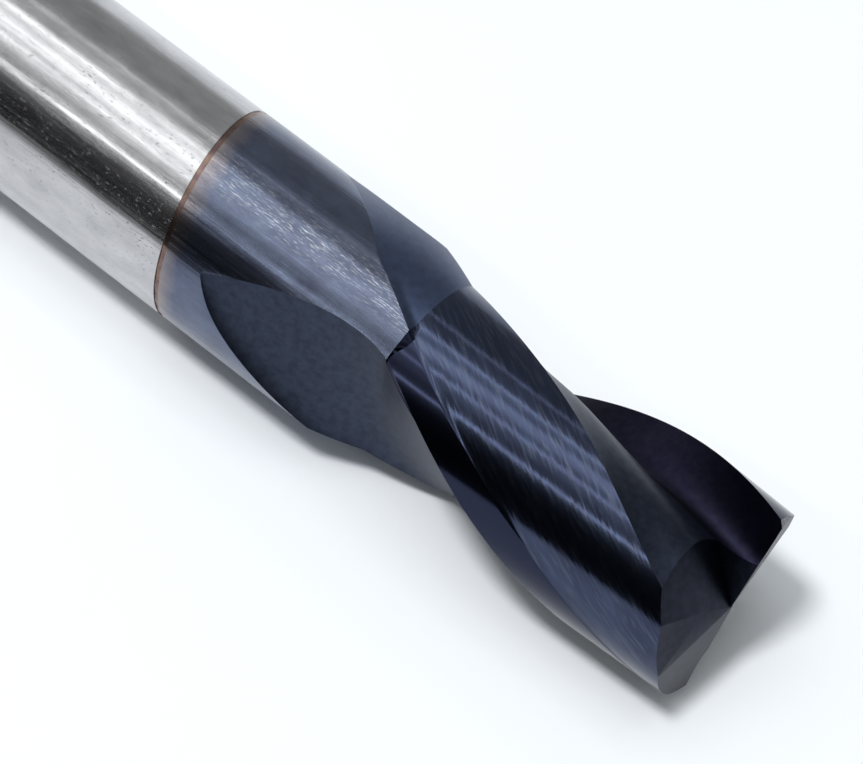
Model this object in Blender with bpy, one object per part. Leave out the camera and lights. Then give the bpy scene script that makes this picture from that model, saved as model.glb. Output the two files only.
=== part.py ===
"""Solid-carbide two-flute end mill with a 12 mm shank, lying on its side.

Metres, +X along the tool axis towards the cutting end, +Z up. The origin is the
centre of the shank's flat rear face. The tool cuts clockwise, seen from the shank.

The tool is one ground carbide body under two hard coatings, which are built as
thin closed shells round its cutting end: a gold adhesion coat and a dark top coat.
Real coatings are a few micrometres thick, so COAT_THICKNESS is a stand-in.
"""
import math

import bmesh
import bpy
from mathutils import Matrix, Vector

MM = 0.001

# Lengths, measured from the tip or from the rear face
OVERALL_LENGTH = 83.0 * MM
RELIEF_LENGTH = 20.9 * MM       # tip to the step where the shank surface ends
FLUTE_LENGTH = 31.9 * MM        # tip to the point where the flutes have run out
TOP_COAT_LENGTH = 34.7 * MM     # tip to the rear edge of the dark coating
FRINGE = 0.3 * MM               # the adhesion coat shows this far behind it
MASK_TILT = 0.18                # slope of the coatings' rear edges
MASK_UP = math.radians(30.0)    # direction in which that slope falls back
SHANK_CHAMFER = 0.6 * MM

# Radii
SHANK_RADIUS = 6.0 * MM
CUTTING_RADIUS = 5.85 * MM

# Coatings
COAT_THICKNESS = 0.03 * MM
COAT_GAP = 0.012 * MM
RAKE_INSET = 1.5                # how far a rake face moves back under a coat, per depth

# Helix: right-hand flutes, with the first tooth's corner at TIP_ANGLE at the tip
TWIST = math.tan(math.radians(29.9)) / CUTTING_RADIUS
TIP_ANGLE = math.radians(243.1)

# Section of one tooth. Angles run from its cutting edge towards the heel, and
# radii are fractions of the cutting radius.
LAND_AT_TIP = math.radians(26.5)
LAND_AT_STEP = math.radians(17.5)
LAND_END = 0.972
BACK_START = 0.967
BACK_END = 0.90
HEEL_AT_TIP = math.radians(93.0)
HEEL_AT_STEP = math.radians(82.5)
HEEL_TURN = math.radians(12.1)  # how far the heel turns forward behind the step
HEEL_TURN_POWER = 9
WALL_AT_TIP = math.radians(2.5)
WALL_AT_STEP = math.radians(7.0)
BACK_CROWDING = 1.5             # gathers points towards the land

# Section of one flute, in fractions of the cutting radius, with the cutting edge
# at (1, 0): the hooked rake face, then the round gullet, then the floor's slope
# up to the heel of the tooth in front.
RAKE_HANDLES = ((0.72, 0.03), (0.455, 0.07))
GULLET = (0.455, -0.17)
FLOOR_HANDLES = ((0.455, -0.62), (0.26, -0.71))
GULLET_GROWTH = 10.0 * MM       # length over which the gullet reaches full depth
FLAT_RAKE = 0.03                # share of the flat flute's width that the rake takes
HOLLOW_HEEL = math.radians(24.0)
HOLLOW_RAKE = math.radians(6.0)

# Run-out behind the relief step
BACK_RISE = (0.083, -0.25, 0.43)    # rise of a back per length, from land to heel
MIN_SHARE = 0.012
RUNOUT_POWER = 1.39
STEP_WIDTH = 0.05 * MM
STEP_LEAN = 0.40 * MM
LEAN_LENGTH = 4.0 * MM
MIN_RUNOUT = math.radians(0.6)
MIN_FLUTE = math.radians(0.8)

# Cutting end. Each fan lists directions from the centre as degrees ahead of the
# cutting edge and degrees of drop into the tool.
CENTRE_DROP = 0.10 * MM
WEB = 0.12 * MM
GASH_FAN = ((0.0, 41.0), (40.0, 35.9), (90.0, 16.3))
RELIEF_FAN = ((4.0, -1.7), (-57.0, 5.0), (-93.0, 16.5))
CORNER_CHAMFER = 0.30 * MM
CHAMFER_REACH = 2.0 * MM
CUTTER_REACH = 9.0 * MM

# Mesh density
LAND_STEPS = 3
BACK_STEPS = 6
STRIP_STEPS = 2
FLOOR_STEPS = 8
RAKE_STEPS = 6
TOOTH_STATIONS = 18
RUNOUT_STATIONS = 11
SHANK_SIDES = 24                # few enough that the tool rests on a flat
CHAMFER_SIDES = 48
SHARP_ANGLE = math.radians(30.0)
RIM_TOLERANCE = 1e-7


def clear_scene():
    """Remove every object that the file starts with."""
    for obj in list(bpy.data.objects):
        bpy.data.objects.remove(obj, do_unlink=True)


def smoothstep(value):
    value = min(max(value, 0.0), 1.0)
    return value * value * (3.0 - 2.0 * value)


def lerp(a, b, t):
    return a + (b - a) * t


def polar(radius, angle):
    """A point of a section, with angles measured from a cutting edge."""
    return Vector((radius * math.cos(angle), radius * math.sin(angle)))


def bezier(start, handle_a, handle_b, end, t):
    """A point on a cubic curve."""
    s = 1.0 - t
    return (Vector(start) * s ** 3 + Vector(handle_a) * (3 * s * s * t)
            + Vector(handle_b) * (3 * s * t * t) + Vector(end) * t ** 3)


def land_angle(from_tip):
    """Angle at which the primary land ends: it widens towards the tip."""
    return lerp(LAND_AT_TIP, LAND_AT_STEP, smoothstep((from_tip - 6 * MM) / (14 * MM)))


def runout_share(from_tip):
    """How far the flutes have run out: 0 at the step and 1 where they end."""
    return min(max((from_tip - RELIEF_LENGTH) / (FLUTE_LENGTH - RELIEF_LENGTH), 0.0), 1.0)


def heel_angle(from_tip):
    """Angle of the ridge between a tooth's back and the flute behind it."""
    along = lerp(HEEL_AT_TIP, HEEL_AT_STEP, smoothstep((from_tip - 9 * MM) / (13 * MM)))
    return along + HEEL_TURN * runout_share(from_tip) ** HEEL_TURN_POWER


def back_radius(share, runout):
    """Radius of a tooth's back at a share of the way to its heel. It rises behind the step."""
    level, slope, curve = BACK_RISE
    relieved = lerp(BACK_START, BACK_END, share) * CUTTING_RADIUS
    return min(relieved + runout * (level + slope * share + curve * share * share), SHANK_RADIUS)


def back_limits(runout):
    """The two shares between which the back lies below the shank's surface."""
    if runout == 0.0:
        return 0.0, 1.0 - MIN_SHARE
    level, slope, curve = BACK_RISE
    square = curve * runout
    linear = slope * runout + (BACK_END - BACK_START) * CUTTING_RADIUS
    constant = level * runout + BACK_START * CUTTING_RADIUS - SHANK_RADIUS
    middle = -linear / (2.0 * square)
    spread = math.sqrt(max(linear ** 2 - 4.0 * square * constant, 0.0)) / (2.0 * square)
    near = max(middle - spread, 0.0)
    far = min(max(middle + spread, near + MIN_SHARE), 1.0 - MIN_SHARE)
    return near, far


def tooth_points(from_tip, runout, relieved):
    """The land and the back of a tooth, from its cutting edge to its heel."""
    start, heel = land_angle(from_tip), heel_angle(from_tip)
    near, far = back_limits(0.0 if relieved else runout)
    points = []
    for step in range(LAND_STEPS + 1):
        share = step / LAND_STEPS
        radius = lerp(1.0, LAND_END, share) * CUTTING_RADIUS if relieved else SHANK_RADIUS
        points.append(polar(radius, lerp(start, heel, near) * share))
    wall = points[-1].length - back_radius(near, runout)
    wall_share = (WALL_AT_TIP if relieved else WALL_AT_STEP) / (heel - start)
    steps = range(1, BACK_STEPS + 1)
    shares = [lerp(near, far, (step / BACK_STEPS) ** BACK_CROWDING) for step in steps]
    shares += [lerp(far, 1.0, step / STRIP_STEPS) for step in range(1, STRIP_STEPS + 1)]
    for share in shares:
        fade = max(1.0 - (share - near) / wall_share, 0.0) ** 2
        radius = min(back_radius(share, runout) + wall * fade, SHANK_RADIUS)
        points.append(polar(radius, lerp(start, heel, share)))
    return points


def hollow(heel, rake, t):
    """A point of the run-out's shallow hollow, steepest beside the heel."""
    chord = rake - heel
    down_heel = Matrix.Rotation(HOLLOW_HEEL, 2) @ chord
    down_rake = Matrix.Rotation(-HOLLOW_RAKE, 2) @ chord
    return bezier(heel, heel + down_heel * 0.18, rake - down_rake * 0.45, rake, t)


def flute_points(gullet, heel):
    """The flute between a heel and the next cutting edge, where the teeth are."""
    edge = Vector((CUTTING_RADIUS, 0.0))
    heel = Matrix.Rotation(-math.pi, 2) @ heel
    shallow = polar(SHANK_RADIUS, -MIN_RUNOUT)
    foot = hollow(heel, shallow, 1.0 - FLAT_RAKE)
    scaled = [Vector(p) * CUTTING_RADIUS for p in RAKE_HANDLES + (GULLET,) + FLOOR_HANDLES]
    points = []
    for step in range(1, FLOOR_STEPS + 1):
        t = step / FLOOR_STEPS
        flat = hollow(heel, shallow, t * (1.0 - FLAT_RAKE))
        full = bezier(heel, scaled[4], scaled[3], scaled[2], t)
        points.append(flat.lerp(full, gullet))
    for step in range(1, RAKE_STEPS):
        t = step / RAKE_STEPS
        full = bezier(scaled[2], scaled[1], scaled[0], edge, t)
        points.append(foot.lerp(edge, t).lerp(full, gullet))
    return [Matrix.Rotation(math.pi, 2) @ point for point in points]


def runout_points(from_tip, heel):
    """The shallow run-out of a flute, and the shank's surface up to the next edge."""
    share = runout_share(from_tip)
    widest = math.pi - heel_angle(FLUTE_LENGTH) - MIN_FLUTE
    rake_angle = math.pi - lerp(MIN_RUNOUT, widest, share ** RUNOUT_POWER)
    rake = polar(SHANK_RADIUS, rake_angle)
    points = []
    for step in range(1, FLOOR_STEPS + 1):
        t = step / FLOOR_STEPS
        point = hollow(heel, rake, t)
        if share >= 1.0:
            point = polar(SHANK_RADIUS, lerp(heel_angle(from_tip), rake_angle, t))
        points.append(point)
    for step in range(1, RAKE_STEPS):
        points.append(polar(SHANK_RADIUS, lerp(rake_angle, math.pi, step / RAKE_STEPS)))
    return points


def world_section(from_tip, relieved):
    """The whole section, turned to its place along the helix, as (y, z) points."""
    runout = max(from_tip - RELIEF_LENGTH, 0.0)
    half = tooth_points(from_tip, runout, relieved)
    if relieved:
        gullet = smoothstep((RELIEF_LENGTH - from_tip) / GULLET_GROWTH)
        half += flute_points(gullet, half[-1])
    else:
        half += runout_points(from_tip, half[-1])
    edge_angle = TIP_ANGLE - TWIST * from_tip
    turned = []
    for turn in (0.0, math.pi):
        for point in half:
            angle = edge_angle - turn - math.atan2(point.y, point.x)
            turned.append(polar(point.length, angle))
    return turned


def circle_behind(radius):
    """A circle straight behind the flutes' last section, tilted as the masking line is."""
    circle = [point.normalized() * radius for point in world_section(FLUTE_LENGTH, False)]
    return [(point, -masked(point)) for point in circle]


def shank_polygon(radius, tilted=False):
    """The shank's outline, with flats of that radius at its bottom, top and sides."""
    corner = radius / math.cos(math.pi / SHANK_SIDES)
    angles = [math.pi * (2 * side + 1) / SHANK_SIDES for side in range(SHANK_SIDES)]
    polygon = [polar(corner, angle) for angle in angles]
    return [(point, -masked(point) if tilted else 0.0) for point in polygon]


def inset(points, depth):
    """Move a section's points inwards by depth, and its rake faces also backwards."""
    half = len(points) // 2
    heel = LAND_STEPS + BACK_STEPS + STRIP_STEPS
    moved = []
    for index, point in enumerate(points):
        place = index % half
        backwards = 1.0 - place / LAND_STEPS
        if place > heel:
            backwards = smoothstep((place - heel) / FLOOR_STEPS)
        turn = RAKE_INSET * max(backwards, 0.0) * depth / CUTTING_RADIUS
        turned = Matrix.Rotation(-turn, 2) @ point
        moved.append(turned * (1.0 - depth / point.length))
    return moved


def leaning(points, from_tip):
    """Points with how far each lies ahead of the section, where the step leans forward."""
    half = len(points) // 2
    growth = smoothstep((from_tip - RELIEF_LENGTH + LEAN_LENGTH) / LEAN_LENGTH)
    moved = []
    for index, point in enumerate(points):
        place = index % half
        share = place / LAND_STEPS if place <= LAND_STEPS else 1.0 - (place - LAND_STEPS) / BACK_STEPS
        lean = STEP_LEAN * growth * smoothstep(share)
        moved.append((Matrix.Rotation(TWIST * lean, 2) @ point, lean))
    return moved


def tool_stations(depth):
    """Sections from the tip to behind the flutes, each with its distance from the tip."""
    stations = []
    for step in range(TOOTH_STATIONS + 1):
        from_tip = max(RELIEF_LENGTH * step / TOOTH_STATIONS, depth)
        points = inset(world_section(from_tip, True), depth)
        stations.append((from_tip, leaning(points, from_tip)))
    for step in range(RUNOUT_STATIONS + 1):
        from_tip = lerp(RELIEF_LENGTH + STEP_WIDTH, FLUTE_LENGTH, step / RUNOUT_STATIONS)
        points = inset(world_section(from_tip, False), depth)
        stations.append((from_tip, [(point, 0.0) for point in points]))
    return stations


def masked(point):
    """How much further from the tip the tilted masking line lies at a point."""
    return MASK_TILT * (point.x * math.cos(MASK_UP) + point.y * math.sin(MASK_UP))


def ring(mesh, from_tip, points):
    """One ring of vertices across the tool, from points and how far each lies ahead."""
    front = OVERALL_LENGTH - from_tip
    return [mesh.verts.new((front + ahead, point.x, point.y)) for point, ahead in points]


def bridge(mesh, ring_a, ring_b):
    """A band of faces between two rings."""
    for index in range(len(ring_a)):
        after = (index + 1) % len(ring_a)
        mesh.faces.new((ring_a[index], ring_a[after], ring_b[after], ring_b[index]))


def make_object(name, mesh):
    """Turn a bmesh into an object in the scene, with triangles for the Booleans."""
    bmesh.ops.recalc_face_normals(mesh, faces=mesh.faces)
    bmesh.ops.triangulate(mesh, faces=mesh.faces)
    data = bpy.data.meshes.new(name)
    mesh.to_mesh(data)
    mesh.free()
    obj = bpy.data.objects.new(name, data)
    bpy.context.collection.objects.link(obj)
    return obj


def loft(name, depth, rear):
    """The cutting end, inset by depth, from the tip to a tilted rear rim."""
    mesh = bmesh.new()
    rings = [ring(mesh, place, points) for place, points in tool_stations(depth)]
    rings.append(ring(mesh, rear, circle_behind(SHANK_RADIUS - depth)))
    for ring_a, ring_b in zip(rings, rings[1:]):
        bridge(mesh, ring_a, ring_b)
    mesh.faces.new(rings[0])
    mesh.faces.new(rings[-1])
    return make_object(name, mesh)


def end_direction(edge_angle, ahead_deg, drop_deg):
    """Direction from the centre of the end: ahead of the edge, dropping into the tool."""
    angle = edge_angle + math.radians(ahead_deg)
    drop = math.radians(drop_deg)
    flat = Vector((0.0, math.cos(angle), math.sin(angle)))
    return flat - Vector((math.tan(drop), 0.0, 0.0))


def fan_cutter(name, apex, directions):
    """A closed cutter over a fan of triangles that share their apex."""
    mesh = bmesh.new()
    lift = Vector((CUTTER_REACH, 0.0, 0.0))
    corners = [apex] + [apex + direction * CUTTER_REACH for direction in directions]
    low = [mesh.verts.new(corner) for corner in corners]
    high = [mesh.verts.new(corner + lift) for corner in corners]
    for index in range(1, len(low) - 1):
        mesh.faces.new((low[0], low[index], low[index + 1]))
        mesh.faces.new((high[0], high[index], high[index + 1]))
    bridge(mesh, low, high)
    return make_object(name, mesh)


def chamfer_cutter(depth):
    """A turned ring that takes the corner chamfer off the tip."""
    mesh = bmesh.new()
    front = OVERALL_LENGTH - depth
    inner = CUTTING_RADIUS - CORNER_CHAMFER - depth
    outline = (
        (front + CHAMFER_REACH, inner - CHAMFER_REACH),
        (front + CHAMFER_REACH, inner + 2.0 * CHAMFER_REACH),
        (front - 2.0 * CHAMFER_REACH, inner + 2.0 * CHAMFER_REACH),
    )
    rings = []
    for side in range(CHAMFER_SIDES):
        turn = Matrix.Rotation(2.0 * math.pi * side / CHAMFER_SIDES, 3, "X")
        rings.append([mesh.verts.new(turn @ Vector((x, radius, 0.0))) for x, radius in outline])
    for side in range(CHAMFER_SIDES):
        bridge(mesh, rings[side], rings[(side + 1) % CHAMFER_SIDES])
    return make_object("chamfer_cutter", mesh)


def combine(obj, cutter, operation):
    """Apply a Boolean to obj and throw the cutter away."""
    modifier = obj.modifiers.new(operation.title(), "BOOLEAN")
    modifier.operation = operation
    modifier.object = cutter
    modifier.solver = "EXACT"
    evaluated = obj.evaluated_get(bpy.context.evaluated_depsgraph_get())
    data = bpy.data.meshes.new_from_object(evaluated)
    obj.modifiers.clear()
    obj.data = data
    bpy.data.objects.remove(cutter, do_unlink=True)


def grind_end(obj, depth):
    """Cut the gashes, the end reliefs and the corner chamfer."""
    for turn in (0.0, math.pi):
        edge = TIP_ANGLE + turn
        lead = Vector((0.0, -math.sin(edge), math.cos(edge)))
        apex = Vector((OVERALL_LENGTH - CENTRE_DROP - depth, 0.0, 0.0)) + lead * (WEB - depth)
        for name, fan in (("gash", GASH_FAN), ("relief", RELIEF_FAN)):
            directions = [end_direction(edge, ahead, drop) for ahead, drop in fan]
            combine(obj, fan_cutter(name, apex, directions), "DIFFERENCE")
    combine(obj, chamfer_cutter(depth), "DIFFERENCE")


def cutting_end(name, depth, rear):
    """The lofted cutting end, ground."""
    obj = loft(name, depth, rear)
    grind_end(obj, depth)
    return obj


def open_rear(mesh, rear):
    """Take off the faces that close the cutting ends at their tilted rear rims."""
    caps = []
    for face in mesh.faces:
        gaps = [vert.co.x - OVERALL_LENGTH + rear + masked(vert.co.yz) for vert in face.verts]
        if max(abs(gap) for gap in gaps) < RIM_TOLERANCE:
            caps.append(face)
    bmesh.ops.delete(mesh, geom=caps, context="FACES")


def join_rims(mesh):
    """Close the flat gap between the mesh's two open rims."""
    rims = [edge for edge in mesh.edges if edge.is_boundary]
    bmesh.ops.triangle_fill(mesh, edges=rims, use_beauty=True)


def material(name, colour, roughness, metallic=1.0):
    """A plain metal for one piece."""
    made = bpy.data.materials.new(name)
    made.use_nodes = True
    shader = made.node_tree.nodes["Principled BSDF"]
    shader.inputs["Base Color"].default_value = (*colour, 1.0)
    shader.inputs["Roughness"].default_value = roughness
    shader.inputs["Metallic"].default_value = metallic
    return made


def dress(obj, made):
    """Give an object its material and smooth, sharp-edged shading."""
    obj.data.materials.clear()
    obj.data.materials.append(made)
    obj.data.shade_smooth()
    obj.data.set_sharp_from_angle(angle=SHARP_ANGLE)


def coat(name, depth, rear):
    """A closed coating shell over the cutting end, with a rim at its rear edge."""
    mesh = bmesh.new()
    for layer_depth in (depth, depth + COAT_THICKNESS):
        layer = cutting_end(name, layer_depth, rear)
        if layer_depth > depth:
            layer.data.flip_normals()
        mesh.from_mesh(layer.data)
        bpy.data.objects.remove(layer, do_unlink=True)
    open_rear(mesh, rear)
    join_rims(mesh)
    return make_object(name, mesh)


def carbide_body():
    """The ground carbide rod under the coatings, with its bare shank."""
    depth = 2.0 * (COAT_THICKNESS + COAT_GAP)
    shoulder = TOP_COAT_LENGTH + FRINGE + COAT_GAP
    mesh = bmesh.new()
    covered = cutting_end("covered_end", depth, shoulder)
    mesh.from_mesh(covered.data)
    bpy.data.objects.remove(covered, do_unlink=True)
    open_rear(mesh, shoulder)
    rings = [
        ring(mesh, shoulder, shank_polygon(SHANK_RADIUS, tilted=True)),
        ring(mesh, OVERALL_LENGTH - SHANK_CHAMFER, shank_polygon(SHANK_RADIUS)),
        ring(mesh, OVERALL_LENGTH, shank_polygon(SHANK_RADIUS - SHANK_CHAMFER)),
    ]
    mesh.faces.new(rings[-1])
    for ring_a, ring_b in zip(rings, rings[1:]):
        bridge(mesh, ring_a, ring_b)
    join_rims(mesh)
    return make_object("carbide_body", mesh)


def main():
    """Build the three pieces."""
    clear_scene()
    dress(carbide_body(), material("bare_carbide", (0.50, 0.48, 0.46), 0.28))
    base = coat("adhesion_coat", COAT_THICKNESS + COAT_GAP, TOP_COAT_LENGTH + FRINGE)
    dress(base, material("gold_nitride", (0.55, 0.33, 0.16), 0.35))
    top = coat("top_coat", 0.0, TOP_COAT_LENGTH)
    dress(top, material("dark_nitride", (0.06, 0.06, 0.08), 0.32))


main()
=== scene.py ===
"""Looks of the two-flute end mill: fine meshes, materials, floor, light, camera."""
import math
from collections import namedtuple

import bmesh
import bpy
from mathutils import Matrix, Vector


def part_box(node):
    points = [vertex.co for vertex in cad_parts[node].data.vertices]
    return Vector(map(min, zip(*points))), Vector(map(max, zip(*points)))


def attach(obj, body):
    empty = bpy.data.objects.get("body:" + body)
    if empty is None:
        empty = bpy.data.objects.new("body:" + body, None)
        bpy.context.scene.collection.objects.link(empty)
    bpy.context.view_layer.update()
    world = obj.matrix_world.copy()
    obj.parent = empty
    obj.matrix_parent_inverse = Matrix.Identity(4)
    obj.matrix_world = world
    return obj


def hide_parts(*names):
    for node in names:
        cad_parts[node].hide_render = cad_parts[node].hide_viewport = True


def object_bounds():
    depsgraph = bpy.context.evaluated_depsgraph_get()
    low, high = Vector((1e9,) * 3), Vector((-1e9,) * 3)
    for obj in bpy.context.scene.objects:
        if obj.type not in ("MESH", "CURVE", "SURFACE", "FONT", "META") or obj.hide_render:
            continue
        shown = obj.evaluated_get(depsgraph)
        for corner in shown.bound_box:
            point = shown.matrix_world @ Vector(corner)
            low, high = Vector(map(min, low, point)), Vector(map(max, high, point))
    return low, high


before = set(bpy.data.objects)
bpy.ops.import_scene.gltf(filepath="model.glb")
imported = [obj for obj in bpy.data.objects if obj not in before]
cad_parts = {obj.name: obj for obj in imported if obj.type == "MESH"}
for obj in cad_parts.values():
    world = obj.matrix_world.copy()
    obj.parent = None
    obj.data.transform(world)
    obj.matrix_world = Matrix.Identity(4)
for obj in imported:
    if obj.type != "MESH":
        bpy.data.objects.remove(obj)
cad_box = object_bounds()

MM = 0.001

# Places worked out from the frame
REAR_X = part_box("carbide_body")[0][0]
TIP_X = cad_box[1][0]
SHANK_RADIUS = cad_box[1][2]
FLOOR_Z = cad_box[0][2]

# Lengths from the tip, as in the CAD
RELIEF_LENGTH = 20.9 * MM       # to the step where the shank's surface ends
FLUTE_LENGTH = 31.9 * MM        # to where the flutes have run out
TOP_COAT_LENGTH = 34.7 * MM     # to the rear rim of the dark coat
FRINGE = 0.3 * MM               # the adhesion coat shows this far behind it
MASK_TILT = 0.18                # slope of the coats' rear rims
MASK_UP = math.radians(30.0)    # direction in which that slope falls back
SHANK_CHAMFER = 0.6 * MM

CUTTING_RADIUS = 5.85 * MM
COAT_THICKNESS = 0.03 * MM
COAT_GAP = 0.012 * MM
RAKE_INSET = 1.5                # how far a rake face moves back under a coat, per depth
RIM_TOLERANCE = 1e-7

# Helix: turn per length, and the angle of the first tooth's corner at the tip
TWIST = math.tan(math.radians(29.9)) / CUTTING_RADIUS
TIP_ANGLE = math.radians(243.1)

# Section of a tooth, from its cutting edge towards its heel
LAND_AT_TIP = math.radians(26.5)
LAND_AT_STEP = math.radians(17.5)
LAND_NARROWS = (6.0 * MM, 14.0 * MM)    # where it starts to narrow, and over what length
LAND_END = 0.972                        # radii, as fractions of the cutting radius
BACK_START = 0.967
BACK_END = 0.90
HEEL_AT_TIP = math.radians(93.0)
HEEL_AT_STEP = math.radians(82.5)
HEEL_ADVANCES = (9.0 * MM, 13.0 * MM)   # where it starts to move, and over what length
HEEL_TURN = math.radians(12.1)          # how far the heel turns back behind the step
HEEL_TURN_POWER = 9
WALL_AT_TIP = math.radians(2.5)         # width of the small wall behind the land
WALL_AT_STEP = math.radians(7.0)
BACK_CROWDING = 1.5                     # gathers points towards the land

# Section of a flute, in fractions of the cutting radius, cutting edge at (1, 0)
RAKE_HANDLES = ((0.72, 0.03), (0.455, 0.07))
GULLET = (0.455, -0.17)
FLOOR_HANDLES = ((0.455, -0.62), (0.26, -0.71))
GULLET_GROWTH = 10.0 * MM       # length over which the gullet reaches full depth
FLAT_RAKE = 0.03                # share of the flat flute's width that the rake takes
HOLLOW_HEEL = math.radians(24.0)
HOLLOW_RAKE = math.radians(6.0)
HOLLOW_HANDLES = (0.18, 0.45)   # lengths of the hollow's two handles, per width

# Run-out behind the relief step
BACK_RISE = (0.083, -0.25, 0.43)    # a back's rise per length, from land to heel
MIN_SHARE = 0.012
RUNOUT_POWER = 1.39
STEP_WIDTH = 0.05 * MM
STEP_LEAN = 0.40 * MM
LEAN_LENGTH = 4.0 * MM
MIN_RUNOUT = math.radians(0.6)
MIN_FLUTE = math.radians(0.8)

# Cutting end. Each fan lists directions from the centre as degrees ahead of the
# cutting edge and degrees of drop into the tool.
CENTRE_DROP = 0.10 * MM
WEB = 0.12 * MM
GASH_FAN = ((0.0, 41.0), (40.0, 35.9), (90.0, 16.3))
RELIEF_FAN = ((4.0, -1.7), (-57.0, 5.0), (-93.0, 16.5))
CORNER_CHAMFER = 0.30 * MM
CHAMFER_REACH = 2.0 * MM
CHAMFER_SIDES = 180
CUTTER_REACH = 9.0 * MM

# Mesh density: steps across the land, the back, the strip behind it, the flute's floor
# and its rake face, and stations along the teeth and along the run-out
Grid = namedtuple("Grid", "land back strip floor rake teeth runout")
FINE = Grid(20, 32, 16, 28, 26, 100, 60)
HIDDEN = Grid(4, 9, 4, 14, 10, 40, 24)
ROUND_STEPS = 256
SHARP_ANGLE = math.radians(24.0)

# Light: a compact key lamp, and the sky's levels against the angle up from the far
# side's horizon, in degrees
KEY_POWER = 2.1
KEY_DIRECTION = Vector((-0.14, -0.28, 0.95)).normalized()
KEY_AIM = Vector((0.05, 0.0, 0.0))
KEY_DISTANCE = 0.6
KEY_SIZE = 0.11
SKY_TINT = (0.96, 0.99, 1.0)
SKY_TOP = 8.0
SKY = (
    (0, 0.5), (10, 0.36), (42, 0.33), (51, 0.35), (53.5, 0.45), (55, 2.8), (56.5, 0.45),
    (64, 0.55), (70, 0.6), (73, 0.7), (74.5, 5.0), (76.5, 1.5), (84, 0.9), (87, 2.6), (95, 2.0),
    (98, 1.1), (103, 0.9), (105, 5.0), (107, 0.9), (113, 0.9), (116, 0.55), (125.5, 0.4),
    (127, 8.0), (128.5, 0.5), (132, 0.3), (137, 0.12), (143, 0.06), (152, 0.035),
    (165, 0.025), (180, 0.05),
)

# How far the lamps reach along the tool, as the X part of the direction to them
LAMP_MIDDLE = -0.22
LAMP_HALF = 0.25
LAMP_FADE = 0.25
LAMP_ENDS = 0.3

# Camera
CAMERA_PLACE = Vector((0.11138, -0.09322, 0.16156))
CAMERA_AIM = Vector((0.06312, -0.00010, -0.00006))
CAMERA_ROLL = math.radians(13.70)
CAMERA_LENS = 153.4
CAMERA_SENSOR = 36.0

FLOOR_HALF = 3.0

# Where bright specks of painted highlight lie on the coated shank, as an angle up from the far side
SPECK_HIGHLIGHT_UP = math.radians(99.0)

# Ground surfaces, in the order of the coated end's materials
SHANK, LAND, BACK, FACET, FLUTE, RAKE, END, CORNER = range(8)


# ---------------------------------------------------------------- geometry

def smoothstep(value):
    """Ease from 0 to 1, level at both ends."""
    value = min(max(value, 0.0), 1.0)
    return value * value * (3.0 - 2.0 * value)


def lerp(a, b, t):
    """The value a share t of the way from a to b."""
    return a + (b - a) * t


def polar(radius, angle):
    """A point of a section, with angles measured from a cutting edge."""
    return Vector((radius * math.cos(angle), radius * math.sin(angle)))


def bezier(start, handle_a, handle_b, end, t):
    """A point on a cubic curve."""
    s = 1.0 - t
    return (Vector(start) * s ** 3 + Vector(handle_a) * (3 * s * s * t)
            + Vector(handle_b) * (3 * s * t * t) + Vector(end) * t ** 3)


def land_angle(from_tip):
    """Angle at which the primary land ends: it widens towards the tip."""
    start, length = LAND_NARROWS
    return lerp(LAND_AT_TIP, LAND_AT_STEP, smoothstep((from_tip - start) / length))


def runout_share(from_tip):
    """How far the flutes have run out: 0 at the step and 1 where they end."""
    return min(max((from_tip - RELIEF_LENGTH) / (FLUTE_LENGTH - RELIEF_LENGTH), 0.0), 1.0)


def heel_angle(from_tip):
    """Angle of the ridge between a tooth's back and the flute behind it."""
    start, length = HEEL_ADVANCES
    along = lerp(HEEL_AT_TIP, HEEL_AT_STEP, smoothstep((from_tip - start) / length))
    return along + HEEL_TURN * runout_share(from_tip) ** HEEL_TURN_POWER


def back_radius(share, runout):
    """Radius of a tooth's back at a share of the way to its heel. It rises behind the step."""
    level, slope, curve = BACK_RISE
    relieved = lerp(BACK_START, BACK_END, share) * CUTTING_RADIUS
    return min(relieved + runout * (level + slope * share + curve * share * share), SHANK_RADIUS)


def back_limits(runout):
    """The two shares between which the back lies below the shank's surface."""
    if runout == 0.0:
        return 0.0, 1.0 - MIN_SHARE
    level, slope, curve = BACK_RISE
    square = curve * runout
    linear = slope * runout + (BACK_END - BACK_START) * CUTTING_RADIUS
    constant = level * runout + BACK_START * CUTTING_RADIUS - SHANK_RADIUS
    middle = -linear / (2.0 * square)
    spread = math.sqrt(max(linear ** 2 - 4.0 * square * constant, 0.0)) / (2.0 * square)
    near = max(middle - spread, 0.0)
    far = min(max(middle + spread, near + MIN_SHARE), 1.0 - MIN_SHARE)
    return near, far


def tooth_points(from_tip, runout, relieved, grid):
    """The land and the back of a tooth, from its cutting edge to its heel."""
    start, heel = land_angle(from_tip), heel_angle(from_tip)
    near, far = back_limits(0.0 if relieved else runout)
    points = []
    for step in range(grid.land + 1):
        share = step / grid.land
        radius = lerp(1.0, LAND_END, share) * CUTTING_RADIUS if relieved else SHANK_RADIUS
        points.append(polar(radius, lerp(start, heel, near) * share))
    wall = points[-1].length - back_radius(near, runout)
    wall_share = (WALL_AT_TIP if relieved else WALL_AT_STEP) / (heel - start)
    steps = range(1, grid.back + 1)
    shares = [lerp(near, far, (step / grid.back) ** BACK_CROWDING) for step in steps]
    shares += [lerp(far, 1.0, step / grid.strip) for step in range(1, grid.strip + 1)]
    for share in shares:
        fade = max(1.0 - (share - near) / wall_share, 0.0) ** 2
        radius = min(back_radius(share, runout) + wall * fade, SHANK_RADIUS)
        points.append(polar(radius, lerp(start, heel, share)))
    return points


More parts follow.
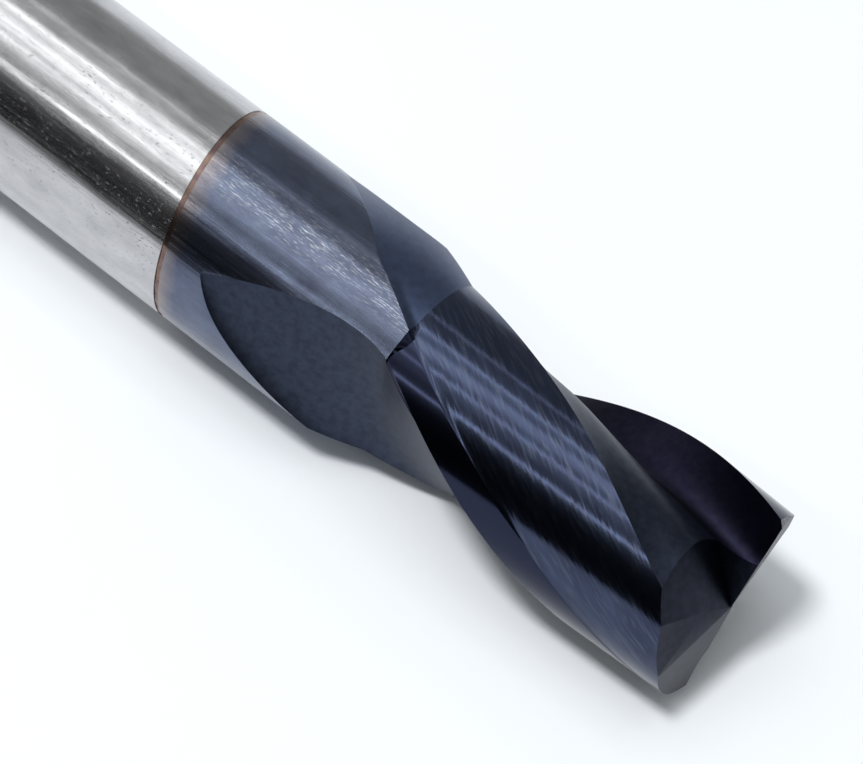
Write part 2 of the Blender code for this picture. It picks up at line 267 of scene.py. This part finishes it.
def hollow(heel, rake, t):
    """A point of the run-out's shallow hollow, steepest beside the heel."""
    chord = rake - heel
    down_heel = Matrix.Rotation(HOLLOW_HEEL, 2) @ chord
    down_rake = Matrix.Rotation(-HOLLOW_RAKE, 2) @ chord
    near, far = HOLLOW_HANDLES
    return bezier(heel, heel + down_heel * near, rake - down_rake * far, rake, t)


def flute_points(gullet, heel, grid):
    """The flute between a heel and the next cutting edge, where the teeth are."""
    edge = Vector((CUTTING_RADIUS, 0.0))
    heel = Matrix.Rotation(-math.pi, 2) @ heel
    shallow = polar(SHANK_RADIUS, -MIN_RUNOUT)
    foot = hollow(heel, shallow, 1.0 - FLAT_RAKE)
    scaled = [Vector(p) * CUTTING_RADIUS for p in RAKE_HANDLES + (GULLET,) + FLOOR_HANDLES]
    points = []
    for step in range(1, grid.floor + 1):
        t = step / grid.floor
        flat = hollow(heel, shallow, t * (1.0 - FLAT_RAKE))
        full = bezier(heel, scaled[4], scaled[3], scaled[2], t)
        points.append(flat.lerp(full, gullet))
    for step in range(1, grid.rake):
        t = step / grid.rake
        full = bezier(scaled[2], scaled[1], scaled[0], edge, t)
        points.append(foot.lerp(edge, t).lerp(full, gullet))
    return [Matrix.Rotation(math.pi, 2) @ point for point in points]


def runout_points(from_tip, heel, grid):
    """The shallow run-out of a flute, and the shank's surface up to the next edge."""
    share = runout_share(from_tip)
    widest = math.pi - heel_angle(FLUTE_LENGTH) - MIN_FLUTE
    rake_angle = math.pi - lerp(MIN_RUNOUT, widest, share ** RUNOUT_POWER)
    rake = polar(SHANK_RADIUS, rake_angle)
    points = []
    for step in range(1, grid.floor + 1):
        t = step / grid.floor
        point = hollow(heel, rake, t)
        if share >= 1.0:
            point = polar(SHANK_RADIUS, lerp(heel_angle(from_tip), rake_angle, t))
        points.append(point)
    for step in range(1, grid.rake):
        points.append(polar(SHANK_RADIUS, lerp(rake_angle, math.pi, step / grid.rake)))
    return points


def world_section(from_tip, relieved, grid):
    """The whole section, turned to its place along the helix, as (y, z) points."""
    runout = max(from_tip - RELIEF_LENGTH, 0.0)
    half = tooth_points(from_tip, runout, relieved, grid)
    if relieved:
        gullet = smoothstep((RELIEF_LENGTH - from_tip) / GULLET_GROWTH)
        half += flute_points(gullet, half[-1], grid)
    else:
        half += runout_points(from_tip, half[-1], grid)
    edge_angle = TIP_ANGLE - TWIST * from_tip
    turned = []
    for turn in (0.0, math.pi):
        for point in half:
            angle = edge_angle - turn - math.atan2(point.y, point.x)
            turned.append(polar(point.length, angle))
    return turned


def circle_behind(radius, grid, tilted=False):
    """A circle straight behind the flutes' last section, tilted as the masking line is."""
    circle = [point.normalized() * radius for point in world_section(FLUTE_LENGTH, False, grid)]
    return [(point, -masked(point) if tilted else 0.0) for point in circle]


def even_circle(radius, tilted=False):
    """A finely and evenly divided circle, tilted as the masking line is."""
    circle = [polar(radius, 2.0 * math.pi * step / ROUND_STEPS) for step in range(ROUND_STEPS)]
    return [(point, -masked(point) if tilted else 0.0) for point in circle]


def inset(points, depth, grid):
    """Move a section's points inwards by depth, and its rake faces also backwards."""
    half = len(points) // 2
    heel = grid.land + grid.back + grid.strip
    moved = []
    for index, point in enumerate(points):
        place = index % half
        backwards = 1.0 - place / grid.land
        if place > heel:
            backwards = smoothstep((place - heel) / grid.floor)
        turn = RAKE_INSET * max(backwards, 0.0) * depth / CUTTING_RADIUS
        turned = Matrix.Rotation(-turn, 2) @ point
        moved.append(turned * (1.0 - depth / point.length))
    return moved


def leaning(points, from_tip, grid):
    """Points with how far each lies ahead of the section, where the step leans forward."""
    half = len(points) // 2
    growth = smoothstep((from_tip - RELIEF_LENGTH + LEAN_LENGTH) / LEAN_LENGTH)
    moved = []
    for index, point in enumerate(points):
        place = index % half
        share = place / grid.land if place <= grid.land else 1.0 - (place - grid.land) / grid.back
        lean = STEP_LEAN * growth * smoothstep(share)
        moved.append((Matrix.Rotation(TWIST * lean, 2) @ point, lean))
    return moved


def tool_stations(depth, grid):
    """Sections from the tip to behind the flutes, each with its distance from the tip."""
    stations = []
    for step in range(grid.teeth + 1):
        from_tip = max(RELIEF_LENGTH * step / grid.teeth, depth)
        points = inset(world_section(from_tip, True, grid), depth, grid)
        stations.append((from_tip, leaning(points, from_tip, grid)))
    for step in range(grid.runout + 1):
        from_tip = lerp(RELIEF_LENGTH + STEP_WIDTH, FLUTE_LENGTH, step / grid.runout)
        points = inset(world_section(from_tip, False, grid), depth, grid)
        stations.append((from_tip, [(point, 0.0) for point in points]))
    return stations


def masked(point):
    """How much further from the tip the tilted masking line lies at a point."""
    return MASK_TILT * (point.x * math.cos(MASK_UP) + point.y * math.sin(MASK_UP))


def ring(mesh, from_tip, points):
    """One ring of vertices across the tool, from points and how far each lies ahead."""
    return [mesh.verts.new((TIP_X - from_tip + ahead, point.x, point.y)) for point, ahead in points]


def bridge(mesh, ring_a, ring_b, regions=(0,)):
    """A band of faces between two rings, each with the material of its region."""
    for index in range(len(ring_a)):
        after = (index + 1) % len(ring_a)
        face = mesh.faces.new((ring_a[index], ring_a[after], ring_b[after], ring_b[index]))
        face.material_index = regions[index % len(regions)]


def make_object(name, mesh):
    """Turn a bmesh into an object in the scene, with triangles for the Booleans."""
    bmesh.ops.recalc_face_normals(mesh, faces=mesh.faces)
    bmesh.ops.triangulate(mesh, faces=mesh.faces)
    data = bpy.data.meshes.new(name)
    mesh.to_mesh(data)
    mesh.free()
    obj = bpy.data.objects.new(name, data)
    bpy.context.collection.objects.link(obj)
    return obj


def region_list(relieved, grid):
    """The ground surface that each side of half a section belongs to."""
    regions = [LAND if relieved else SHANK] * grid.land
    regions += [BACK if relieved else FACET] * grid.back
    regions += [BACK if relieved else SHANK] * grid.strip
    regions += [FLUTE] * grid.floor
    regions += [RAKE if relieved else SHANK] * grid.rake
    return regions


def loft(name, depth, grid, surfaces, rear):
    """The cutting end, inset by depth, from the tip to a tilted rear rim."""
    mesh = bmesh.new()
    rings = [ring(mesh, place, points) for place, points in tool_stations(depth, grid)]
    rings.append(ring(mesh, rear, circle_behind(SHANK_RADIUS - depth, grid, tilted=True)))
    for index, (ring_a, ring_b) in enumerate(zip(rings, rings[1:])):
        regions = region_list(index <= grid.teeth, grid)
        if index > grid.teeth + grid.runout:
            regions = (SHANK,)
        bridge(mesh, ring_a, ring_b, regions)
    mesh.faces.new(rings[0])
    mesh.faces.new(rings[-1])
    return with_surfaces(make_object(name, mesh), surfaces)


def with_surfaces(obj, surfaces):
    """Give an object one material for each ground surface, in their order."""
    for made in surfaces:
        obj.data.materials.append(made)
    return obj


def end_direction(edge_angle, ahead_deg, drop_deg):
    """Direction from the centre of the end: ahead of the edge, dropping into the tool."""
    angle = edge_angle + math.radians(ahead_deg)
    drop = math.radians(drop_deg)
    flat = Vector((0.0, math.cos(angle), math.sin(angle)))
    return flat - Vector((math.tan(drop), 0.0, 0.0))


def fan_cutter(name, apex, directions, surfaces):
    """A closed cutter over a fan of triangles that share their apex."""
    mesh = bmesh.new()
    lift = Vector((CUTTER_REACH, 0.0, 0.0))
    corners = [apex] + [apex + direction * CUTTER_REACH for direction in directions]
    low = [mesh.verts.new(corner) for corner in corners]
    high = [mesh.verts.new(corner + lift) for corner in corners]
    for index in range(1, len(low) - 1):
        mesh.faces.new((low[0], low[index], low[index + 1]))
        mesh.faces.new((high[0], high[index], high[index + 1]))
    bridge(mesh, low, high)
    for face in mesh.faces:
        face.material_index = END
    return with_surfaces(make_object(name, mesh), surfaces)


def chamfer_cutter(depth, surfaces):
    """A turned ring that takes the corner chamfer off the tip."""
    mesh = bmesh.new()
    front = TIP_X - depth
    inner = CUTTING_RADIUS - CORNER_CHAMFER - depth
    outline = (
        (front + CHAMFER_REACH, inner - CHAMFER_REACH),
        (front + CHAMFER_REACH, inner + 2.0 * CHAMFER_REACH),
        (front - 2.0 * CHAMFER_REACH, inner + 2.0 * CHAMFER_REACH),
    )
    rings = []
    for side in range(CHAMFER_SIDES):
        turn = Matrix.Rotation(2.0 * math.pi * side / CHAMFER_SIDES, 3, "X")
        rings.append([mesh.verts.new(turn @ Vector((x, radius, 0.0))) for x, radius in outline])
    for side in range(CHAMFER_SIDES):
        bridge(mesh, rings[side], rings[(side + 1) % CHAMFER_SIDES], (CORNER,))
    return with_surfaces(make_object("chamfer_cutter", mesh), surfaces)


def cut(obj, cutter):
    """Take the cutter's shape out of obj and throw the cutter away."""
    modifier = obj.modifiers.new("Cut", "BOOLEAN")
    modifier.operation = "DIFFERENCE"
    modifier.object = cutter
    modifier.solver = "EXACT"
    evaluated = obj.evaluated_get(bpy.context.evaluated_depsgraph_get())
    data = bpy.data.meshes.new_from_object(evaluated)
    obj.modifiers.clear()
    obj.data = data
    bpy.data.objects.remove(cutter, do_unlink=True)


def grind_end(obj, depth, surfaces):
    """Cut the gashes, the end reliefs and the corner chamfer."""
    for turn in (0.0, math.pi):
        edge = TIP_ANGLE + turn
        lead = Vector((0.0, -math.sin(edge), math.cos(edge)))
        centre = Vector((TIP_X - CENTRE_DROP - depth, 0.0, 0.0))
        gash = [end_direction(edge, ahead, drop) for ahead, drop in GASH_FAN]
        relief = [end_direction(edge, ahead, drop) for ahead, drop in RELIEF_FAN]
        apex = centre + lead * (WEB - depth)
        cut(obj, fan_cutter("gash", apex, gash, surfaces))
        cut(obj, fan_cutter("relief", apex, relief, surfaces))
    cut(obj, chamfer_cutter(depth, surfaces))


def cutting_end(name, depth, grid, surfaces, rear):
    """The lofted cutting end, ground."""
    obj = loft(name, depth, grid, surfaces, rear)
    grind_end(obj, depth, surfaces)
    return obj


def open_rear(mesh, rear):
    """Take off the faces that close the cutting ends at their tilted rear rims."""
    caps = []
    for face in mesh.faces:
        gaps = [vert.co.x - TIP_X + rear + masked(vert.co.yz) for vert in face.verts]
        if max(abs(gap) for gap in gaps) < RIM_TOLERANCE:
            caps.append(face)
    bmesh.ops.delete(mesh, geom=caps, context="FACES")


def join_rims(mesh):
    """Close the flat gap between the mesh's two open rims."""
    rims = [edge for edge in mesh.edges if edge.is_boundary]
    bmesh.ops.triangle_fill(mesh, edges=rims, use_beauty=True)


def coat(name, depth, grid, surfaces, rear):
    """A closed coating shell over the cutting end, with a rim at its rear edge."""
    mesh = bmesh.new()
    for layer_depth, layer_grid in ((depth, grid), (depth + COAT_THICKNESS, HIDDEN)):
        layer = cutting_end(name, layer_depth, layer_grid, surfaces, rear)
        if layer_depth > depth:
            layer.data.flip_normals()
        mesh.from_mesh(layer.data)
        bpy.data.objects.remove(layer, do_unlink=True)
    open_rear(mesh, rear)
    join_rims(mesh)
    return with_surfaces(make_object(name, mesh), surfaces)


def carbide_body(made):
    """The ground carbide rod under the coatings, with its bare shank."""
    depth = 2.0 * (COAT_THICKNESS + COAT_GAP)
    shoulder = TOP_COAT_LENGTH + FRINGE + COAT_GAP
    length = TIP_X - REAR_X
    mesh = bmesh.new()
    covered = cutting_end("covered_end", depth, HIDDEN, [made], shoulder)
    mesh.from_mesh(covered.data)
    bpy.data.objects.remove(covered, do_unlink=True)
    open_rear(mesh, shoulder)
    rings = [
        ring(mesh, shoulder, even_circle(SHANK_RADIUS, tilted=True)),
        ring(mesh, length - SHANK_CHAMFER, even_circle(SHANK_RADIUS)),
        ring(mesh, length, even_circle(SHANK_RADIUS - SHANK_CHAMFER)),
    ]
    mesh.faces.new(rings[-1])
    for ring_a, ring_b in zip(rings, rings[1:]):
        bridge(mesh, ring_a, ring_b)
    join_rims(mesh)
    return with_surfaces(make_object("fine_carbide_body", mesh), [made])


def dress(obj, node):
    """Shading and body of a fine piece, in place of a CAD node."""
    obj.data.shade_smooth()
    obj.data.set_sharp_from_angle(angle=SHARP_ANGLE)
    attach(obj, "root")
    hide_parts(node)


# --------------------------------------------------------------- materials

class Shader:
    """A Principled material and short ways to add nodes to it."""

    def __init__(self, name, roughness, metallic=1.0):
        self.material = bpy.data.materials.new(name)
        self.material.use_nodes = True
        self.tree = self.material.node_tree
        self.main = self.tree.nodes["Principled BSDF"]
        self.main.inputs["Roughness"].default_value = roughness
        self.main.inputs["Metallic"].default_value = metallic

    def node(self, kind, inputs, **settings):
        """Add a node. An input is a value, or the output socket that feeds it."""
        made = self.tree.nodes.new(kind)
        for key, value in settings.items():
            setattr(made, key, value)
        for key, value in inputs.items():
            self.feed(made.inputs[key], value)
        return made

    def feed(self, socket, value):
        """Set a socket's value, or link another socket to it."""
        if isinstance(value, bpy.types.NodeSocket):
            self.tree.links.new(value, socket)
        else:
            socket.default_value = value

    def math(self, operation, a, b=0.0, c=0.0):
        """Arithmetic on sockets and numbers."""
        return self.node("ShaderNodeMath", {0: a, 1: b, 2: c}, operation=operation).outputs[0]

    def position(self):
        """Position on the part, the same in every view and pose."""
        return self.node("ShaderNodeTexCoord", {}).outputs["Object"]

    def from_tip(self):
        """Distance from the tip along the axis."""
        split = self.node("ShaderNodeSeparateXYZ", {0: self.position()})
        return self.math("SUBTRACT", TIP_X, split.outputs["X"])

    def before_rim(self):
        """Distance from the top coat's tilted rear rim, towards the tip."""
        split = self.node("ShaderNodeSeparateXYZ", {0: self.position()})
        across = self.math("MULTIPLY", split.outputs["Y"], MASK_TILT * math.cos(MASK_UP))
        tilted = self.math("MULTIPLY_ADD", split.outputs["Z"], MASK_TILT * math.sin(MASK_UP), across)
        level = self.math("ADD", tilted, split.outputs["X"])
        return self.math("SUBTRACT", level, TIP_X - TOP_COAT_LENGTH)

    def untwisted(self):
        """Position with the flutes' helix unwound, so that they run straight along X."""
        turn = self.math("MULTIPLY", self.from_tip(), TWIST)
        made = self.node("ShaderNodeVectorRotate", {"Vector": self.position(), "Angle": turn},
                         rotation_type="X_AXIS")
        return made.outputs[0]

    def facing(self, angle, low, high):
        """How directly the round surface faces an angle across the axis, mapped to 0 to 1."""
        split = self.node("ShaderNodeSeparateXYZ", {0: self.position()})
        y = self.math("MULTIPLY", split.outputs["Y"], math.cos(angle) / SHANK_RADIUS)
        aligned = self.math("MULTIPLY_ADD", split.outputs["Z"], math.sin(angle) / SHANK_RADIUS, y)
        return self.between(aligned, low, high)

    def grain(self, place, along, across, detail=2.0, offset=0.0):
        """Noise drawn out along X: along and across are its grain sizes."""
        scaled = self.node("ShaderNodeVectorMath", {0: place, 1: (1 / along, 1 / across, 1 / across),
                                                   2: (offset, offset, 0.0)}, operation="MULTIPLY_ADD")
        made = self.node("ShaderNodeTexNoise", {"Vector": scaled.outputs[0], "Scale": 1.0,
                                                "Detail": detail, "Roughness": 0.6})
        return made.outputs["Fac"]

    def between(self, value, low, high, to_low=0.0, to_high=1.0):
        """Map a range of values to another one, clamped at both ends."""
        made = self.node("ShaderNodeMapRange", {"Value": value, "From Min": low, "From Max": high,
                                                "To Min": to_low, "To Max": to_high})
        return made.outputs["Result"]

    def mix(self, share, colour_a, colour_b):
        """A colour between two others."""
        made = self.node("ShaderNodeMix", {"Factor": share}, data_type="RGBA")
        for socket, value in zip(made.inputs[6:8], (colour_a, colour_b)):
            self.feed(socket, value)
        return made.outputs[2]

    def bump(self, height, depth, strength, under=None):
        """Bump from a height of 0 to 1 that stands for a real depth."""
        inputs = {"Height": height, "Distance": depth, "Strength": strength}
        if under is not None:
            inputs["Normal"] = under
        return self.node("ShaderNodeBump", inputs).outputs["Normal"]


def rgb(red, green, blue):
    """An opaque colour."""
    return (red, green, blue, 1.0)


def bare_carbide():
    """Cylindrically ground and polished, with fine scratches, pits and handling stains."""
    shader = Shader("bare_carbide", 0.17)
    place = shader.position()
    streaks = shader.grain(place, 6 * MM, 0.16 * MM)
    fine = shader.grain(place, 1.2 * MM, 0.05 * MM, offset=7.0)
    stains = shader.grain(place, 3.0 * MM, 1.2 * MM, detail=5.0)
    pits = shader.grain(place, 0.25 * MM, 0.10 * MM, offset=3.0)
    pit = shader.between(pits, 0.66, 0.72)
    clean = shader.mix(shader.between(stains, 0.35, 0.7), rgb(0.56, 0.55, 0.56), rgb(0.42, 0.41, 0.42))
    shader.feed(shader.main.inputs["Base Color"], shader.mix(pit, clean, rgb(0.2, 0.19, 0.19)))
    shader.feed(shader.main.inputs["Roughness"], shader.between(streaks, 0.3, 0.7, 0.12, 0.26))
    level = shader.bump(streaks, 0.004 * MM, 0.6)
    level = shader.bump(fine, 0.0015 * MM, 0.6, level)
    shader.feed(shader.main.inputs["Normal"], shader.bump(pit, -0.01 * MM, 0.5, level))
    return shader.material


def gold_nitride():
    """The adhesion coat, which shows as a fringe that turns from straw to purple."""
    shader = Shader("gold_nitride", 0.25)
    patches = shader.grain(shader.position(), 0.5 * MM, 0.6 * MM, detail=4.0)
    colour = shader.mix(shader.between(patches, 0.35, 0.65), rgb(0.25, 0.17, 0.13), rgb(0.14, 0.09, 0.10))
    shader.feed(shader.main.inputs["Base Color"], colour)
    return shader.material


def coated_shank():
    """The coating over the polished shank and its run-outs' edges."""
    shader = Shader("coated_shank", 0.2)
    place = shader.position()
    streaks = shader.grain(place, 5 * MM, 0.14 * MM)
    fine = shader.grain(place, 0.9 * MM, 0.05 * MM, offset=5.0)
    stains = shader.grain(place, 2.2 * MM, 1.4 * MM, detail=4.0, offset=2.0)
    stained = shader.between(stains, 0.3, 0.7)
    colour = shader.mix(stained, rgb(0.14, 0.165, 0.235), rgb(0.095, 0.105, 0.155))
    # Painted highlight: bright specks in one band round the shank, on the side that faces the lamps
    specks = shader.grain(place, 0.5 * MM, 0.05 * MM, detail=3.0, offset=11.0)
    painted_highlight_side = shader.facing(SPECK_HIGHLIGHT_UP, 0.972, 0.994)
    painted_highlight_specks = shader.math("MULTIPLY", shader.between(specks, 0.54, 0.68), painted_highlight_side)
    colour = shader.mix(painted_highlight_specks, colour, rgb(0.40, 0.41, 0.44))
    ragged = shader.math("MULTIPLY_ADD", stains, 1.6 * MM, shader.before_rim())
    colour = shader.mix(shader.between(ragged, 0.7 * MM, 1.9 * MM), rgb(0.27, 0.235, 0.235), colour)
    shader.feed(shader.main.inputs["Base Color"], colour)
    shader.feed(shader.main.inputs["Roughness"], shader.between(streaks, 0.3, 0.7, 0.14, 0.3))
    level = shader.bump(streaks, 0.004 * MM, 0.7)
    shader.feed(shader.main.inputs["Normal"], shader.bump(fine, 0.002 * MM, 0.7, level))
    return shader.material


def coated_land():
    """The smooth, finely ground primary land."""
    shader = Shader("coated_land", 0.12)
    shader.main.inputs["Base Color"].default_value = rgb(0.024, 0.028, 0.052)
    marks = shader.grain(shader.untwisted(), 5 * MM, 0.05 * MM)
    shader.feed(shader.main.inputs["Normal"], shader.bump(marks, 0.0012 * MM, 0.5))
    return shader.material


def coated_back():
    """The relieved back, with coarse grinding marks that follow the helix."""
    shader = Shader("coated_back", 0.13)
    place = shader.untwisted()
    coarse = shader.grain(place, 1.1 * MM, 0.17 * MM, detail=1.0)
    fine = shader.grain(place, 0.7 * MM, 0.05 * MM, offset=4.0)
    tint = shader.grain(place, 2.5 * MM, 0.8 * MM, detail=3.0, offset=9.0)
    tinted = shader.between(tint, 0.3, 0.7)
    colour = shader.mix(tinted, rgb(0.050, 0.064, 0.110), rgb(0.040, 0.046, 0.080))
    colour = shader.mix(shader.between(coarse, 0.5, 0.7), colour, rgb(0.068, 0.080, 0.122))
    shader.feed(shader.main.inputs["Base Color"], colour)
    shader.feed(shader.main.inputs["Roughness"], shader.between(coarse, 0.3, 0.7, 0.09, 0.18))
    level = shader.bump(coarse, 0.0045 * MM, 0.7)
    shader.feed(shader.main.inputs["Normal"], shader.bump(fine, 0.0016 * MM, 0.8, level))
    return shader.material


def coated_matte(name, colour_a, colour_b, roughness, grain_size):
    """Matte, finely mottled coating over rough ground facets."""
    shader = Shader(name, roughness)
    place = shader.untwisted()
    mottle = shader.grain(shader.position(), 0.5 * MM, 0.5 * MM, detail=5.0)
    marks = shader.grain(place, 1.5 * MM, grain_size)
    shader.feed(shader.main.inputs["Base Color"],
                shader.mix(shader.between(mottle, 0.35, 0.65), rgb(*colour_a), rgb(*colour_b)))
    shader.feed(shader.main.inputs["Normal"], shader.bump(marks, 0.004 * MM, 0.7))
    return shader.material


def worn_corner():
    """Bare carbide where the coating has worn through at a corner."""
    shader = Shader("worn_corner", 0.45)
    patches = shader.grain(shader.position(), 0.12 * MM, 0.12 * MM, detail=3.0)
    patchy = shader.between(patches, 0.4, 0.6)
    colour = shader.mix(patchy, rgb(0.30, 0.29, 0.28), rgb(0.16, 0.16, 0.17))
    shader.feed(shader.main.inputs["Base Color"], colour)
    shader.feed(shader.main.inputs["Normal"], shader.bump(patches, 0.01 * MM, 0.6))
    return shader.material


def end_surfaces():
    """The top coat's materials, in the order of the ground surfaces."""
    return [
        coated_shank(),
        coated_land(),
        coated_back(),
        coated_matte("coated_facet", (0.085, 0.115, 0.20), (0.068, 0.088, 0.155), 0.42, 0.12 * MM),
        coated_matte("coated_flute", (0.045, 0.056, 0.085), (0.032, 0.038, 0.062), 0.42, 0.12 * MM),
        coated_matte("coated_rake", (0.03, 0.03, 0.055), (0.022, 0.02, 0.045), 0.38, 0.10 * MM),
        coated_matte("coated_end", (0.020, 0.023, 0.040), (0.012, 0.014, 0.025), 0.40, 0.10 * MM),
        worn_corner(),
    ]


# ------------------------------------------------------------------- stage

def floor():
    """A plain pale table that ends beyond every view."""
    mesh = bmesh.new()
    corners = ((-1, -1), (1, -1), (1, 1), (-1, 1))
    mesh.faces.new([mesh.verts.new((FLOOR_HALF * x, FLOOR_HALF * y, FLOOR_Z)) for x, y in corners])
    obj = make_object("floor", mesh)
    shader = Shader("pale_floor", 0.8, metallic=0.0)
    shader.main.inputs["Base Color"].default_value = rgb(0.90, 0.93, 0.96)
    shader.main.inputs["Specular IOR Level"].default_value = 0.1
    obj.data.materials.append(shader.material)


def key_light():
    """A compact lamp that lights the table and gives the tool its tight shadow."""
    data = bpy.data.lights.new("key", "AREA")
    data.shape = "DISK"
    data.size = KEY_SIZE
    data.energy = KEY_POWER
    obj = bpy.data.objects.new("key", data)
    bpy.context.collection.objects.link(obj)
    obj.location = KEY_AIM + KEY_DIRECTION * KEY_DISTANCE
    obj.rotation_euler = KEY_DIRECTION.to_track_quat("Z", "Y").to_euler()
    obj.visible_glossy = False


def sky():
    """The room as the tool sees it across its axis: dark on the near side, grey beyond."""
    made = bpy.data.worlds.new("studio")
    bpy.context.scene.world = made
    made.use_nodes = True
    nodes, links = made.node_tree.nodes, made.node_tree.links

    def arithmetic(operation, first, second=None):
        """A math node on sockets, or on a socket and a number."""
        node = nodes.new("ShaderNodeMath")
        node.operation = operation
        links.new(first, node.inputs[0])
        if isinstance(second, float):
            node.inputs[1].default_value = second
        elif second is not None:
            links.new(second, node.inputs[1])
        return node.outputs[0]

    coords = nodes.new("ShaderNodeTexCoord")
    split = nodes.new("ShaderNodeSeparateXYZ")
    links.new(coords.outputs["Generated"], split.inputs[0])
    angle = arithmetic("ARCTAN2", split.outputs["Z"], split.outputs["Y"])
    ramp = nodes.new("ShaderNodeValToRGB")
    links.new(arithmetic("DIVIDE", angle, math.pi), ramp.inputs[0])
    elements = ramp.color_ramp.elements
    elements.remove(elements[1])
    for index, (degrees, level) in enumerate(SKY):
        element = elements.new(degrees / 180.0) if index else elements[0]
        element.position = degrees / 180.0
        element.color = (*[level / SKY_TOP * tint for tint in SKY_TINT], 1.0)

    away = arithmetic("ABSOLUTE", arithmetic("SUBTRACT", split.outputs["X"], LAMP_MIDDLE))
    strength = nodes.new("ShaderNodeMapRange")
    strength.interpolation_type = "SMOOTHSTEP"
    links.new(away, strength.inputs["Value"])
    strength.inputs["From Min"].default_value = LAMP_HALF
    strength.inputs["From Max"].default_value = LAMP_HALF + LAMP_FADE
    strength.inputs["To Min"].default_value = SKY_TOP
    strength.inputs["To Max"].default_value = SKY_TOP * LAMP_ENDS
    background = nodes["Background"]
    links.new(ramp.outputs[0], background.inputs["Color"])
    links.new(strength.outputs["Result"], background.inputs["Strength"])


def camera():
    """A camera that looks down the tool from its near side."""
    data = bpy.data.cameras.new("camera")
    data.lens = CAMERA_LENS
    data.sensor_width = CAMERA_SENSOR
    data.clip_start = 0.01
    obj = bpy.data.objects.new("camera", data)
    bpy.context.collection.objects.link(obj)
    look = (CAMERA_AIM - CAMERA_PLACE).to_track_quat("-Z", "Y").to_matrix()
    obj.location = CAMERA_PLACE
    obj.rotation_euler = (look @ Matrix.Rotation(CAMERA_ROLL, 3, "Z")).to_euler()
    bpy.context.scene.camera = obj


def main():
    """Build the pieces and the stage around them."""
    bare, gold = bare_carbide(), gold_nitride()
    dress(carbide_body(bare), "carbide_body")
    under = COAT_THICKNESS + COAT_GAP
    base = coat("fine_adhesion_coat", under, HIDDEN, [gold], TOP_COAT_LENGTH + FRINGE)
    dress(base, "adhesion_coat")
    top = coat("fine_top_coat", 0.0, FINE, end_surfaces(), TOP_COAT_LENGTH)
    dress(top, "top_coat")
    floor()
    sky()
    key_light()
    camera()
    bpy.context.scene.view_settings.view_transform = "Standard"


main()
